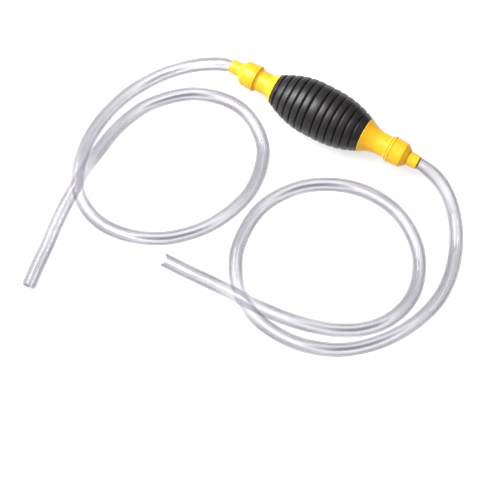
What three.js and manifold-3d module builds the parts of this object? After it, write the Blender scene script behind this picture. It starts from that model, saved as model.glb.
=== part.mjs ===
// A siphon bulb pump lying on a table: a ribbed rubber squeeze bulb between two plastic check valve
// housings. A union nut on each housing holds the tailpiece of a long clear hose.
//
// Millimetres. +X is the direction of flow, from the inlet to the outlet, and +Z is up. The table is
// at z = 0, and the origin is below the middle of the pump, measured without its hoses.

import * as THREE from "three";
import { mergeVertices } from "three/addons/utils/BufferGeometryUtils.js";
import Module from "manifold-3d";

const wasm = await Module();
wasm.setup();

// Clearances
const FIT = 0.3; // between pieces that are held together
const STEM_PLAY = 0.25; // round the stem of a valve in its guide

// Bulb, an ellipsoid cut off at both ends, with a cylindrical band round its middle
const BULB_RADIUS = 20.6;
const MIDDLE_BAND_WIDTH = 7.4;
const INLET_SHOULDER_LENGTH = 32.4; // from the middle band to the inlet rim
const OUTLET_SHOULDER_LENGTH = 35.0;
const INLET_MOUTH_RADIUS = 11.9; // outside, at the rim
const OUTLET_MOUTH_RADIUS = 13.45;
const INLET_SHOULDER_POWER = 2.0; // 1 is a cone, and a higher power has a fuller shoulder
const OUTLET_SHOULDER_POWER = 2.3;
const RUBBER_WALL = 2.3;
const MOUTH_TUNNEL = 6.0; // depth of the collar that grips the spigot of a housing
const GROOVE_PITCH = 5.85;
const GROOVES_EACH_SIDE = 6;
const GROOVE_WIDTH = 0.9;
const GROOVE_DEPTH = 0.7;

// Valve housings
const INLET_HOUSING_LENGTH = 16.5; // from the rim of the bulb to the nut
const OUTLET_HOUSING_LENGTH = 21.8;
const INLET_FLARE_LENGTH = 8.5; // of the trumpet that runs down from the rim to the waist
const OUTLET_FLARE_LENGTH = 14.0;
const INLET_WAIST_RADIUS = 8.4;
const OUTLET_WAIST_RADIUS = 8.6;
const FLARE_POWER = 1.8;
const SPIGOT_WALL = 1.8;
const RIDGE_LENGTH = 2.4; // of the ridge behind the collar of the bulb
const RIDGE_HEIGHT = 1.2;
const WEB_THICKNESS = 3.0; // of the web that the valve cage stops against
const WEB_BORE_RADIUS = 5.0;
const NECK_RADIUS = 7.7; // over the thread
const NECK_LENGTH = 4.9;
const EDGE = 0.4; // chamfer on the edges of the mouldings

// Check valves
const CAGE_RADIUS = 6.1;
const CAGE_WALL = 0.8;
const SEAT_THICKNESS = 2.4;
const SEAT_BORE_RADIUS = 3.0;
const LIP_WIDTH = 0.7;
const LIP_HEIGHT = 0.6;
const SEAL_RADIUS = 4.5;
const SEAL_THICKNESS = 1.2;
const NOSE_RADIUS = 1.5; // of the boss that the seal is pushed over
const DISC_RADIUS = 4.6;
const DISC_THICKNESS = 1.6;
const STEM_RADIUS = 1.15;
const STEM_LENGTH = 9.0;
const SPRING_LENGTH = 5.5;
const SPRING_MEAN_RADIUS = 2.0;
const SPRING_TURNS = 5;
const WIRE_RADIUS = 0.225;
const SPIDER_THICKNESS = 2.2;
const SPIDER_ARMS = 3;
const ARM_WIDTH = 1.6;
const HUB_WALL = 1.2;

// Unions
const GASKET_THICKNESS = 1.5;
const GASKET_BORE_RADIUS = 4.6;
const FLANGE_RADIUS = 7.6;
const FLANGE_THICKNESS = 2.2;
const BOSS_RADIUS = 5.8;
const TAIL_BORE_RADIUS = 3.4;
const STUB_ROOT_RADIUS = 5.45;
const STUB_MOUTH_RADIUS = 5.1;
const STUB_LENGTH = 8.6; // in front of the nut
const STUB_WALL = 0.75;
const SOCKET_DEPTH = 10.6; // that the hose is pushed into
const BEAD_RADIUS = 10.3;
const BEAD_WIDTH = 2.4;
const NUT_RADIUS = 10.0;
const NUT_FRONT_RADIUS = 9.5;
const NUT_BODY_LENGTH = 11.4;
const NUT_NOSE_LENGTH = 3.6;
const NUT_NOSE_RADIUS = 6.6;

// Hoses
const HOSE_RADIUS = 5.0;
const HOSE_BORE_RADIUS = 4.0;
const HOSE_TUCK = 1.6; // the curve of a hose starts this far inside its stub
const HOSE_STEP = 20; // length of one straight facet

// Facets round a circle
const BULB_SIDES = 36;
const MOULDING_SIDES = 30;
const VALVE_SIDES = 20;
const HOSE_SIDES = 12;
const WIRE_SIDES = 5;
const STEPS_PER_TURN = 8;
const FLARE_STEPS = 5;

// Lengths along the pump
const BULB_LENGTH = INLET_SHOULDER_LENGTH + MIDDLE_BAND_WIDTH + OUTLET_SHOULDER_LENGTH;
const UNION_LENGTH = NUT_BODY_LENGTH + NUT_NOSE_LENGTH + STUB_LENGTH;
const PUMP_LENGTH = INLET_HOUSING_LENGTH + BULB_LENGTH + OUTLET_HOUSING_LENGTH + 2 * UNION_LENGTH;
const PUMP_END = PUMP_LENGTH / 2;
const INLET_RIM_X = -PUMP_END + UNION_LENGTH + INLET_HOUSING_LENGTH;
const OUTLET_RIM_X = INLET_RIM_X + BULB_LENGTH;
// The pump lies on a flat facet of its middle band.
const AXIS_HEIGHT = BULB_RADIUS * Math.cos(Math.PI / BULB_SIDES);

// The two ends of the pump. "outward" is the direction along X that leads away from the bulb.
const INLET = {
  name: "inlet",
  outward: -1,
  rimX: INLET_RIM_X,
  mouthRadius: INLET_MOUTH_RADIUS,
  housingLength: INLET_HOUSING_LENGTH,
  flareLength: INLET_FLARE_LENGTH,
  waistRadius: INLET_WAIST_RADIUS,
};
const OUTLET = {
  name: "outlet",
  outward: 1,
  rimX: OUTLET_RIM_X,
  mouthRadius: OUTLET_MOUTH_RADIUS,
  housingLength: OUTLET_HOUSING_LENGTH,
  flareLength: OUTLET_FLARE_LENGTH,
  waistRadius: OUTLET_WAIST_RADIUS,
};

// Where the pieces of a valve lie along the flow, from the upstream face of its seat
const LIP_END = SEAT_THICKNESS + LIP_HEIGHT;
const SEAL_START = LIP_END + FIT;
const SEAL_END = SEAL_START + SEAL_THICKNESS;
const DISC_START = SEAL_END + FIT;
const DISC_END = DISC_START + DISC_THICKNESS;
const SPRING_START = DISC_END + FIT;
const SPIDER_START = SPRING_START + SPRING_LENGTH + FIT;
const CARTRIDGE_LENGTH = SPIDER_START + SPIDER_THICKNESS;
const CARTRIDGE_BORE_RADIUS = CAGE_RADIUS + FIT;

// Where the pieces of a union lie, outward from the end of its housing
const GASKET_START = NECK_LENGTH + FIT;
const FLANGE_START = GASKET_START + GASKET_THICKNESS + FIT;
const FLANGE_END = FLANGE_START + FLANGE_THICKNESS;
const NUT_LENGTH = NUT_BODY_LENGTH + NUT_NOSE_LENGTH;

// The points that the middle of each hose passes after it leaves its stub
const INLET_HOSE_ROUTE = [
  [-86.6, -2.4, 20.2], [-94.8, -6, 18.7], [-103, -9.7, 15.8], [-111.1, -14.1, 12.2],
  [-118.7, -20, 9.2], [-125.9, -27.2, 6.8], [-133, -38, 5.2], [-139.5, -53, 5],
  [-144.5, -78, 5], [-144.5, -97, 5], [-141.5, -114, 5], [-135.5, -129.5, 5],
  [-126, -142.5, 5], [-112.5, -151.5, 5], [-96, -155.5, 5], [-78, -153.7, 5],
  [-61.6, -147.5, 5], [-46, -137, 5], [-27, -112.5, 5], [-17.5, -75, 5],
  [-29, -39.5, 5], [-60.5, -20.5, 5], [-95.5, -27.5, 5], [-120, -52, 5],
  [-127.5, -70, 5.6], [-130, -88.5, 8.2], [-129.7, -107.6, 12], [-128.3, -126.9, 15.2],
  [-126.4, -144.9, 15.8], [-124.9, -161.3, 13.8], [-123.4, -175.9, 9.8], [-121.3, -190.8, 6.2],
  [-118.4, -207.9, 5], [-115.1, -223.2, 5],
];
const OUTLET_HOSE_ROUTE = [
  [82.5, 0, 20.5], [89.5, -1, 20], [97, -2.6, 18.5], [105, -5.6, 15.7],
  [115, -12.3, 11.5], [124.5, -22.5, 7.6], [132.6, -36, 5.2], [139.5, -55, 5],
  [142, -76, 5], [139.6, -93, 5], [134.5, -108, 5], [126.5, -123, 5],
  [116.5, -136, 5], [104.5, -147, 5], [91, -155, 5], [70, -161.6, 5],
  [47, -161.9, 5], [31, -157.7, 5], [17.3, -149.5, 5], [6.1, -136.6, 5],
  [-2.3, -118.8, 5], [-3.5, -84, 5], [14.5, -53, 5], [47.6, -34.6, 5],
  [82.7, -35.6, 5], [110.5, -54, 5], [123.3, -79, 5], [124, -97, 5],
  [118, -114.5, 5], [107, -128, 5], [93, -137.5, 5.2], [78.3, -144, 6.6],
  [63.1, -149.4, 9.6], [48, -153.3, 13.2], [32, -155.6, 15.6], [14, -155.7, 14.6],
  [-4, -155.2, 10], [-22, -155, 5.5], [-42.8, -155.9, 5],
];

const yellowPlastic = new THREE.MeshStandardMaterial({ color: 0xffd21f, roughness: 0.32, metalness: 0 });
const blackRubber = new THREE.MeshStandardMaterial({ color: 0x2b292b, roughness: 0.5, metalness: 0 });
const sealRubber = new THREE.MeshStandardMaterial({ color: 0x3c3c3e, roughness: 0.7, metalness: 0 });
const whitePlastic = new THREE.MeshStandardMaterial({ color: 0xf2f1ea, roughness: 0.4, metalness: 0 });
const springSteel = new THREE.MeshStandardMaterial({ color: 0xb9bcc0, roughness: 0.25, metalness: 1 });
const clearHose = new THREE.MeshStandardMaterial({
  color: 0xe4e3ea,
  roughness: 0.12,
  metalness: 0,
  transparent: true,
  opacity: 0.4,
});

// A body of revolution about the X axis, from its closed outline of [x, radius] points in any order
// of rotation. An outline that starts and ends on the axis is closed by the axis itself.
function revolve(outline, sides) {
  let twiceArea = 0;
  outline.forEach(([x, radius], i) => {
    const [nextX, nextRadius] = outline[(i + 1) % outline.length];
    twiceArea += x * nextRadius - nextX * radius;
  });
  const profile = outline.map(([x, radius]) => new THREE.Vector2(radius, x));
  const meetsAxis = profile[0].x === 0 && profile.at(-1).x === 0;
  if (!meetsAxis) profile.push(profile[0].clone());
  if (twiceArea > 0) profile.reverse();
  // Half a facet of turn puts a flat facet underneath.
  return new THREE.LatheGeometry(profile, sides, Math.PI / sides).rotateZ(-Math.PI / 2);
}

// A closed solid of a geometry, for joining and cutting
function solidOf(geometry) {
  const bare = geometry.clone();
  bare.deleteAttribute("normal");
  bare.deleteAttribute("uv");
  const merged = mergeVertices(bare);
  const vertProperties = merged.attributes.position.array;
  const triVerts = new Uint32Array(merged.index.array);
  return new wasm.Manifold(new wasm.Mesh({ numProp: 3, vertProperties, triVerts }));
}

function geometryOf(solid) {
  const { vertProperties, triVerts } = solid.getMesh();
  const geometry = new THREE.BufferGeometry();
  geometry.setAttribute("position", new THREE.BufferAttribute(vertProperties, 3));
  geometry.setIndex(new THREE.BufferAttribute(triVerts, 1));
  geometry.computeVertexNormals();
  return geometry;
}

function addPiece(group, name, geometry, material, x = 0) {
  const mesh = new THREE.Mesh(geometry, material);
  mesh.name = name;
  mesh.position.x = x;
  group.add(mesh);
}

// Outer radius of the bulb between its grooves, at a distance along it from the inlet rim
function bulbRadiusAt(distance) {
  const beforeBand = INLET_SHOULDER_LENGTH - distance;
  const afterBand = distance - INLET_SHOULDER_LENGTH - MIDDLE_BAND_WIDTH;
  if (beforeBand > 0) {
    const drop = BULB_RADIUS - INLET_MOUTH_RADIUS;
    return BULB_RADIUS - drop * (beforeBand / INLET_SHOULDER_LENGTH) ** INLET_SHOULDER_POWER;
  }
  if (afterBand > 0) {
    const drop = BULB_RADIUS - OUTLET_MOUTH_RADIUS;
    return BULB_RADIUS - drop * (afterBand / OUTLET_SHOULDER_LENGTH) ** OUTLET_SHOULDER_POWER;
  }
  return BULB_RADIUS;
}

// The grooves stand at one pitch on each side of the middle band, as far as the rims leave room.
function groovePlaces() {
  const places = [];
  for (let i = 0; i < GROOVES_EACH_SIDE; i++) {
    places.push(INLET_SHOULDER_LENGTH - i * GROOVE_PITCH);
    places.push(INLET_SHOULDER_LENGTH + MIDDLE_BAND_WIDTH + i * GROOVE_PITCH);
  }
  const inside = (place) => place > GROOVE_WIDTH && place < BULB_LENGTH - GROOVE_WIDTH;
  return places.filter(inside).sort((a, b) => a - b);
}

// The whole bulb, from the inlet rim at x = 0: grooved outside, with a collar inside each mouth
function bulbSolid() {
  const outline = [[0, bulbRadiusAt(0)]];
  for (const place of groovePlaces()) {
    const start = place - GROOVE_WIDTH / 2;
    const end = place + GROOVE_WIDTH / 2;
    outline.push([start, bulbRadiusAt(start)]);
    outline.push([place, bulbRadiusAt(place) - GROOVE_DEPTH]);
    outline.push([end, bulbRadiusAt(end)]);
  }
  outline.push([BULB_LENGTH, bulbRadiusAt(BULB_LENGTH)]);
  outline.push([BULB_LENGTH, OUTLET_MOUTH_RADIUS - RUBBER_WALL]);
  outline.push([BULB_LENGTH - MOUTH_TUNNEL, OUTLET_MOUTH_RADIUS - RUBBER_WALL]);
  const chamberLength = BULB_LENGTH - 2 * MOUTH_TUNNEL;
  const chamberSteps = Math.round(chamberLength / (2 * GROOVE_PITCH)) * 2;
  for (let i = chamberSteps; i >= 0; i--) {
    const distance = MOUTH_TUNNEL + (chamberLength * i) / chamberSteps;
    outline.push([distance, bulbRadiusAt(distance) - RUBBER_WALL]);
  }
  outline.push([MOUTH_TUNNEL, INLET_MOUTH_RADIUS - RUBBER_WALL]);
  outline.push([0, INLET_MOUTH_RADIUS - RUBBER_WALL]);
  return solidOf(revolve(outline, BULB_SIDES));
}

// One half of the bulb, on the front (side -1) or the back (side 1) of an upright cut along its axis
function bulbHalf(bulb, side) {
  const depth = 2 * BULB_RADIUS;
  const space = new THREE.BoxGeometry(2 * BULB_LENGTH, depth, 2 * depth);
  space.translate(BULB_LENGTH / 2, (side * (depth + FIT)) / 2, 0);
  return geometryOf(bulb.intersect(solidOf(space)));
}

// A housing, outward from the rim of the bulb: its spigot lies inside the bulb, its waist between
// the bulb and the nut, and its neck under the nut.
function valveHousing(end) {
  const spigotRadius = end.mouthRadius - RUBBER_WALL - FIT;
  const spigotBore = spigotRadius - SPIGOT_WALL;
  const ridgeFace = -MOUTH_TUNNEL - FIT;
  const spigotTip = ridgeFace - RIDGE_LENGTH;
  const neckEnd = end.housingLength + NECK_LENGTH;
  const webFace = neckEnd - CARTRIDGE_LENGTH - FIT;
  const outline = [
    [spigotTip, spigotBore],
    [spigotTip, spigotRadius],
    [ridgeFace - EDGE, spigotRadius + RIDGE_HEIGHT],
    [ridgeFace, spigotRadius + RIDGE_HEIGHT],
    [ridgeFace, spigotRadius],
    [FIT, spigotRadius],
    [FIT, end.mouthRadius - EDGE],
  ];
  for (let i = 0; i <= FLARE_STEPS; i++) {
    const along = i / FLARE_STEPS;
    const flare = (end.mouthRadius - end.waistRadius) * (1 - along) ** FLARE_POWER;
    outline.push([FIT + EDGE + (end.flareLength - FIT - EDGE) * along, end.waistRadius + flare]);
  }
  outline.push(
    [end.housingLength - FIT, end.waistRadius],
    [end.housingLength - FIT, NECK_RADIUS],
    [neckEnd - EDGE, NECK_RADIUS],
    [neckEnd, NECK_RADIUS - EDGE],
    [neckEnd, CARTRIDGE_BORE_RADIUS],
    [webFace, CARTRIDGE_BORE_RADIUS],
    [webFace, WEB_BORE_RADIUS],
    [webFace - WEB_THICKNESS, WEB_BORE_RADIUS],
    [0, spigotBore],
  );
  return revolve(outline, MOULDING_SIDES);
}

// The seat, with a raised lip round its bore on the downstream side
function valveSeat() {
  return revolve(
    [
      [0, SEAT_BORE_RADIUS],
      [0, CAGE_RADIUS],
      [SEAT_THICKNESS, CAGE_RADIUS],
      [SEAT_THICKNESS, SEAT_BORE_RADIUS + LIP_WIDTH],
      [LIP_END, SEAT_BORE_RADIUS + LIP_WIDTH],
      [LIP_END, SEAT_BORE_RADIUS],
    ],
    VALVE_SIDES,
  );
}

function poppetSeal() {
  return revolve(
    [
      [SEAL_START, NOSE_RADIUS + FIT],
      [SEAL_START, SEAL_RADIUS],
      [SEAL_END, SEAL_RADIUS],
      [SEAL_END, NOSE_RADIUS + FIT],
    ],
    VALVE_SIDES,
  );
}

// The poppet: a nose through the seal, a disc behind it and a stem guided by the cage
function poppet() {
  return revolve(
    [
      [SEAL_START, 0],
      [SEAL_START, NOSE_RADIUS],
      [DISC_START, NOSE_RADIUS],
      [DISC_START, DISC_RADIUS],
      [DISC_END, DISC_RADIUS],
      [DISC_END, STEM_RADIUS],
      [DISC_END + STEM_LENGTH, STEM_RADIUS],
      [DISC_END + STEM_LENGTH, 0],
    ],
    VALVE_SIDES,
  );
}

// The middle of a spring's wire, wound about the X axis
class SpringCurve extends THREE.Curve {
  getPoint(t, target = new THREE.Vector3()) {
    const angle = 2 * Math.PI * SPRING_TURNS * t;
    const along = WIRE_RADIUS + (SPRING_LENGTH - 2 * WIRE_RADIUS) * t;
    const across = SPRING_MEAN_RADIUS * Math.cos(angle);
    return target.set(SPRING_START + along, across, SPRING_MEAN_RADIUS * Math.sin(angle));
  }
}

// A regular polygon as the section of a wire, a hose or its bore
function roundSection(radius, sides, PathClass = THREE.Shape) {
  const corners = [];
  for (let i = 0; i < sides; i++) {
    const angle = (2 * Math.PI * i) / sides;
    corners.push(new THREE.Vector2(radius * Math.cos(angle), radius * Math.sin(angle)));
  }
  return new PathClass(corners);
}

function valveSpring() {
  return new THREE.ExtrudeGeometry(roundSection(WIRE_RADIUS, WIRE_SIDES), {
    steps: SPRING_TURNS * STEPS_PER_TURN,
    bevelEnabled: false,
    extrudePath: new SpringCurve(),
  });
}

// The cage: a tube round the poppet, with a spider across its downstream end that guides the stem
function valveCage() {
  const innerRadius = CAGE_RADIUS - CAGE_WALL;
  const guideRadius = STEM_RADIUS + STEM_PLAY;
  const hubRadius = guideRadius + HUB_WALL;
  const end = CARTRIDGE_LENGTH;
  const ring = (start, inner, outer) =>
    revolve([[start, inner], [start, outer], [end, outer], [end, inner]], VALVE_SIDES);
  let cage = solidOf(ring(SEAT_THICKNESS + FIT, innerRadius, CAGE_RADIUS));
  cage = cage.add(solidOf(ring(SPIDER_START, guideRadius, hubRadius)));
  // Each arm starts inside the wall of the hub and ends inside the wall of the tube.
  const armStart = guideRadius + HUB_WALL / 2;
  const armEnd = innerRadius + CAGE_WALL / 2;
  for (let i = 0; i < SPIDER_ARMS; i++) {
    const arm = new THREE.BoxGeometry(SPIDER_THICKNESS, ARM_WIDTH, armEnd - armStart);
    arm.translate(SPIDER_START + SPIDER_THICKNESS / 2, 0, (armStart + armEnd) / 2);
    arm.rotateX((2 * Math.PI * i) / SPIDER_ARMS);
    cage = cage.add(solidOf(arm));
  }
  return geometryOf(cage);
}

function gasket() {
  return revolve(
    [
      [GASKET_START, GASKET_BORE_RADIUS],
      [GASKET_START, FLANGE_RADIUS],
      [GASKET_START + GASKET_THICKNESS, FLANGE_RADIUS],
      [GASKET_START + GASKET_THICKNESS, GASKET_BORE_RADIUS],
    ],
    MOULDING_SIDES,
  );
}

// The tailpiece: a flange that the nut pulls on the gasket, and a stub with a socket for the hose
function tailpiece() {
  const socketFace = UNION_LENGTH - SOCKET_DEPTH;
  const socketRadius = STUB_MOUTH_RADIUS - STUB_WALL;
  return revolve(
    [
      [FLANGE_START, TAIL_BORE_RADIUS],
      [FLANGE_START, FLANGE_RADIUS],
      [FLANGE_END, FLANGE_RADIUS],
      [FLANGE_END, BOSS_RADIUS],
      [NUT_LENGTH, BOSS_RADIUS],
      [NUT_LENGTH + EDGE, STUB_ROOT_RADIUS],
      [UNION_LENGTH, STUB_MOUTH_RADIUS],
      [UNION_LENGTH, socketRadius],
      [socketFace, socketRadius],
      [socketFace, TAIL_BORE_RADIUS],
    ],
    MOULDING_SIDES,
  );
}

// The nut: a bead at its back, a slightly tapered body and a cone down to the stub
function unionNut() {
  const bore = Math.max(NECK_RADIUS, FLANGE_RADIUS) + FIT;
  const mouth = BOSS_RADIUS + FIT;
  return revolve(
    [
      [0, bore],
      [0, BEAD_RADIUS - EDGE],
      [EDGE, BEAD_RADIUS],
      [BEAD_WIDTH - EDGE, BEAD_RADIUS],
      [BEAD_WIDTH, NUT_RADIUS],
      [NUT_BODY_LENGTH - EDGE, NUT_FRONT_RADIUS],
      [NUT_BODY_LENGTH, NUT_FRONT_RADIUS - EDGE],
      [NUT_LENGTH, NUT_NOSE_RADIUS],
      [NUT_LENGTH, mouth],
      [FLANGE_END + FIT, mouth],
      [FLANGE_END + FIT, bore],
    ],
    MOULDING_SIDES,
  );
}

// The middle of a hose. Between its points the curve swings a little past them, but the table
// under it keeps the hose up.
class HoseCurve extends THREE.CatmullRomCurve3 {
  getPoint(t, target) {
    const point = super.getPoint(t, target);
    point.z = Math.max(point.z, HOSE_RADIUS);
    return point;
  }
}

function hoseCurve(end, route) {
  const start = new THREE.Vector3(end.outward * (PUMP_END - HOSE_TUCK), 0, AXIS_HEIGHT);
  const rest = route.map(([x, y, z]) => new THREE.Vector3(x, y, z));
  return new HoseCurve([start, ...rest], false, "centripetal");
}

// The least gap of a hose to itself where it crosses or runs beside itself
function leastGap(curve) {
  const spacing = HOSE_RADIUS / 2;
  const skipped = (8 * HOSE_RADIUS) / spacing;
  const points = curve.getSpacedPoints(Math.round(curve.getLength() / spacing));
  let least = Infinity;
  points.forEach((point, i) => {
    for (let j = i + skipped; j < points.length; j++) {
      least = Math.min(least, point.distanceTo(points[j]));
    }
  });
  return least - 2 * HOSE_RADIUS;
}

function hose(end, route) {
  const curve = hoseCurve(end, route);
  const length = curve.getLength();
  const clear = leastGap(curve);
  console.log(`${end.name} hose: ${length.toFixed(0)} mm long, ${clear.toFixed(2)} mm clear of itself`);
  const section = roundSection(HOSE_RADIUS, HOSE_SIDES);
  section.holes.push(roundSection(HOSE_BORE_RADIUS, HOSE_SIDES, THREE.Path));
  const tube = new THREE.ExtrudeGeometry(section, {
    steps: Math.round(length / HOSE_STEP),
    bevelEnabled: false,
    extrudePath: curve,
  });
  // The hose leaves its stub at a slant, so its first face is cut square to the mouth of the stub.
  const inside = new THREE.BoxGeometry(4 * HOSE_RADIUS, 4 * HOSE_RADIUS, 4 * HOSE_RADIUS);
  inside.translate(end.outward * (PUMP_END + FIT - 2 * HOSE_RADIUS), 0, AXIS_HEIGHT);
  return geometryOf(solidOf(tube).subtract(solidOf(inside)));
}

// A check valve. Both open in the direction of flow, so the seat is the outer piece at the inlet
// and the inner piece at the outlet.
function addValve(pump, end) {
  const neckEndX = end.rimX + end.outward * (end.housingLength + NECK_LENGTH);
  const x = end.outward < 0 ? neckEndX : neckEndX - CARTRIDGE_LENGTH;
  addPiece(pump, `${end.name}_valve_seat`, valveSeat(), whitePlastic, x);
  addPiece(pump, `${end.name}_valve_cage`, valveCage(), whitePlastic, x);
  addPiece(pump, `${end.name}_valve_spring`, valveSpring(), springSteel, x);
  addPiece(pump, `${end.name}_poppet`, poppet(), whitePlastic, x);
  addPiece(pump, `${end.name}_poppet_seal`, poppetSeal(), sealRubber, x);
}

function addEnd(pump, end) {
  // In this group +X is outward from the rim of the bulb.
  const outward = new THREE.Group();
  outward.position.x = end.rimX;
  outward.rotation.z = end.outward < 0 ? Math.PI : 0;
  pump.add(outward);
  addPiece(outward, `${end.name}_valve_housing`, valveHousing(end), yellowPlastic);
  addPiece(outward, `${end.name}_gasket`, gasket(), sealRubber, end.housingLength);
  addPiece(outward, `${end.name}_tailpiece`, tailpiece(), yellowPlastic, end.housingLength);
  addPiece(outward, `${end.name}_union_nut`, unionNut(), yellowPlastic, end.housingLength);
}

const siphonPump = new THREE.Group();

// The pump's own pieces, about an axis at the height of its middle
const pump = new THREE.Group();
pump.position.z = AXIS_HEIGHT;
siphonPump.add(pump);

const bulb = bulbSolid();
addPiece(pump, "bulb_front_half", bulbHalf(bulb, -1), blackRubber, INLET_RIM_X);
addPiece(pump, "bulb_back_half", bulbHalf(bulb, 1), blackRubber, INLET_RIM_X);
for (const end of [INLET, OUTLET]) {
  addEnd(pump, end);
  addValve(pump, end);
}

addPiece(siphonPump, "inlet_hose", hose(INLET, INLET_HOSE_ROUTE), clearHose);
addPiece(siphonPump, "outlet_hose", hose(OUTLET, OUTLET_HOSE_ROUTE), clearHose);

export default siphonPump;
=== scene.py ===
import math

import bpy
import numpy as np
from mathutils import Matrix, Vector


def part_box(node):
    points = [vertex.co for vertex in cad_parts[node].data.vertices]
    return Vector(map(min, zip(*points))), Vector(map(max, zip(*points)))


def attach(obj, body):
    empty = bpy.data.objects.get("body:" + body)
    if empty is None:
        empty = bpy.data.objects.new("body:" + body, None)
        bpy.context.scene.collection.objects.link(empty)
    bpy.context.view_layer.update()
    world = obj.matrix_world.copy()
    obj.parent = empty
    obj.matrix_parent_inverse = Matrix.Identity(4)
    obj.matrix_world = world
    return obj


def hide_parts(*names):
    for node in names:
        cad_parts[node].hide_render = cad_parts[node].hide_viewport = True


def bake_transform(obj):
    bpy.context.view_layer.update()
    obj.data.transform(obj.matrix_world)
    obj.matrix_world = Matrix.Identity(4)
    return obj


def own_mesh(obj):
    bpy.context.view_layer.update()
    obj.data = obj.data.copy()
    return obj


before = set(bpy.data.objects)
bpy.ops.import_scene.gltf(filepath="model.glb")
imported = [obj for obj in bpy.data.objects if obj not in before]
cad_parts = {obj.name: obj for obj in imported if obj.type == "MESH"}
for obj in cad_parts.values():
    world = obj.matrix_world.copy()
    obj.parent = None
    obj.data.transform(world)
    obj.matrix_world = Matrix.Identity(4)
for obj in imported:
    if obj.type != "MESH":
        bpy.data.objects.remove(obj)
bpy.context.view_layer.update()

# ---------------------------------------------------------------- dimensions

FIT = 0.0003  # between pieces that are held together

# Bulb: a cylindrical band round its middle, and shoulders that fall in a curve to the rims
BULB_RADIUS = 0.0206
MIDDLE_BAND_WIDTH = 0.0074
RUBBER_WALL = 0.0023
MOUTH_TUNNEL = 0.0060
GROOVE_PITCH = 0.00585
GROOVES_EACH_SIDE = 6
GROOVE_DEPTH = 0.0011
GROOVE_HALF_WIDTH = 0.00056
GROOVE_POWER = 2.6  # of the fall of its walls: higher is steeper
BAND_CROWN = 0.00034  # height of the middle of a band over its edges
RIM_EDGE_LENGTH = 0.0005  # of a shoulder, left to the rounding of its rim
RIM_OUTER_ROUNDING = 0.00045
RIM_INNER_ROUNDING = 0.00025
RIM_INSET = 0.000125  # of the flat face of the rim

# Valve housings
FLARE_POWER = 1.8
SPIGOT_WALL = 0.0018
RIDGE_LENGTH = 0.0024
RIDGE_HEIGHT = 0.0012
WEB_THICKNESS = 0.0030
WEB_BORE_RADIUS = 0.0050
SHOULDER_LENGTH = 0.0015  # that the nut stops against
SHOULDER_HEIGHT = 0.00105
MOUTH_INSET = 0.0001  # of the flare within the rim of the bulb
MOUTH_ROUNDING = 0.00032
NECK_RADIUS = 0.0077
NECK_LENGTH = 0.0049
NECK_END_DROP = 0.0006  # of the neck's end below the crests of the thread
THREAD_DEPTH = 0.0005
RIB_SPACING = 0.0014  # of the ribs that stand for the thread
RIB_MARGIN = 0.0006  # before the first rib
RIB_ROOM = 0.0008  # that the last rib needs
RIB_STEP = 0.0003  # length of the crest of a rib, and of each of its slopes

# Rounding of edges
EDGE = 0.0004
SMALL_EDGE = 0.0003
FINE_EDGE = 0.0002
LEAST_EDGE = EDGE / 3

# Check valves
SPRING_TURNS = 5
WIRE_RADIUS = 0.000225
CAGE_RADIUS = 0.0061
CARTRIDGE_LENGTH = 0.0147

# Unions
GASKET_THICKNESS = 0.0015
GASKET_BORE_RADIUS = 0.0046
FLANGE_RADIUS = 0.0076
FLANGE_THICKNESS = 0.0022
BOSS_RADIUS = 0.0058
TAIL_BORE_RADIUS = 0.0034
STUB_ROOT_RADIUS = 0.00545
STUB_MOUTH_RADIUS = 0.0051
STUB_LENGTH = 0.0086
STUB_WALL = 0.00075
STUB_STEP = 0.0009  # from the boss to the widest place of the stub
STUB_ROOT_ROUNDING = 0.0012
SOCKET_DEPTH = 0.0106
BEAD_RADIUS = 0.0103
BEAD_WIDTH = 0.0024
BEAD_BACK_ROUNDING = 0.0012
BEAD_FRONT_ROUNDING = 0.0007
SEAM_DEPTH = 0.00028  # between the bead and the body of the nut
SEAM_BACK = 0.0003  # its slope on the side of the bead
SEAM_FRONT = 0.0005  # its slope on the side of the body
SEAM_ROUNDING = 0.0001
NUT_RADIUS = 0.0100
NUT_FRONT_RADIUS = 0.0095
NUT_BODY_LENGTH = 0.0114
NUT_NOSE_LENGTH = 0.0036
NUT_LENGTH = NUT_BODY_LENGTH + NUT_NOSE_LENGTH
NUT_NOSE_RADIUS = 0.0066
NUT_FRONT_ROUNDING = 0.0008

# Hoses
HOSE_RADIUS = 0.0050
HOSE_BORE_RADIUS = 0.0040
HOSE_TUCK = 0.0016  # the curve of a hose starts this far inside its stub
HOSE_STEP = 0.0020  # between the points of its path
HOSE_SIDES = 48

LATHE_SIDES = 96
SMOOTH_UP_TO = math.radians(50)  # edges of tubes that are shaded smooth

# Places from the frame
AXIS_Z = sum(corner.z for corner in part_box("inlet_union_nut")) / 2
PUMP_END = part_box("outlet_tailpiece")[1].x
UNION_LENGTH = NUT_LENGTH + STUB_LENGTH
INLET_RIM_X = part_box("bulb_front_half")[0].x
OUTLET_RIM_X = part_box("bulb_front_half")[1].x

INLET = {
    "name": "inlet",
    "outward": -1,
    "rim_x": INLET_RIM_X,
    "mouth_radius": 0.0119,
    "shoulder_length": 0.0324,
    "shoulder_power": 2.0,
    "flare_length": 0.0085,
    "waist_radius": 0.0084,
    "neck_run": 0.005,
}
OUTLET = {
    "name": "outlet",
    "outward": 1,
    "rim_x": OUTLET_RIM_X,
    "mouth_radius": 0.01345,
    "shoulder_length": 0.0350,
    "shoulder_power": 2.3,
    "flare_length": 0.0140,
    "waist_radius": 0.0086,
    "neck_run": 0.014,
}
for end in (INLET, OUTLET):
    end["housing_length"] = PUMP_END - UNION_LENGTH - abs(end["rim_x"])
    end["band_x"] = end["rim_x"] - end["outward"] * end["shoulder_length"]

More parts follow.
